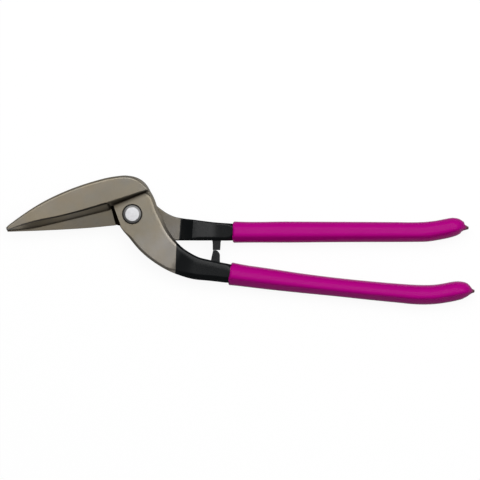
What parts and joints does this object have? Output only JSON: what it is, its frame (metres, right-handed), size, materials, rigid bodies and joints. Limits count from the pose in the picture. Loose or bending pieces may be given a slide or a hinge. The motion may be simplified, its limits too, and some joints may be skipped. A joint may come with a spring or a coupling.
{
  "type": "tin snips",
  "caption": "Pelican pattern tin snips: two forged halves on a bolted pivot, with a long humped upper blade, a cranked lower arm, meeting stop lugs and dipped grips.",
  "frame": {"origin": "on the pivot's axis, at the bolt's end face, which lies on the table", "axes": "+Z along the pivot from the nut to the bolt's head, +X from the pivot towards the grips, +Y towards the humped back of the upper blade"},
  "size_m": [0.2986, 0.0823, 0.0185],
  "materials": {
    "forged_steel": "satin ground blades and necks, black lacquer on the arms",
    "bright_steel": "bright turned",
    "zinc_plated_steel": "zinc plated",
    "nylon": "plain moulded",
    "spring_steel": "blackened",
    "dipped_vinyl": "smooth glossy dip"
  },
  "bodies": {
    "lower_blade_body": {"lower_blade_half": "forged_steel", "upper_grip": "dipped_vinyl", "pivot_bolt": "bright_steel", "pivot_nut": "zinc_plated_steel", "nut_lock_ring": "nylon", "disc_spring": "spring_steel"},
    "upper_blade_body": {"upper_blade_half": "forged_steel", "lower_grip": "dipped_vinyl"}
  },
  "joints": [
    {"name": "pivot_hinge", "type": "hinge", "parent": "lower_blade_body", "child": "upper_blade_body", "pos_m": [0, 0, 0], "axis": [0, 0, -1], "range_deg": [0, 38]}
  ]
}
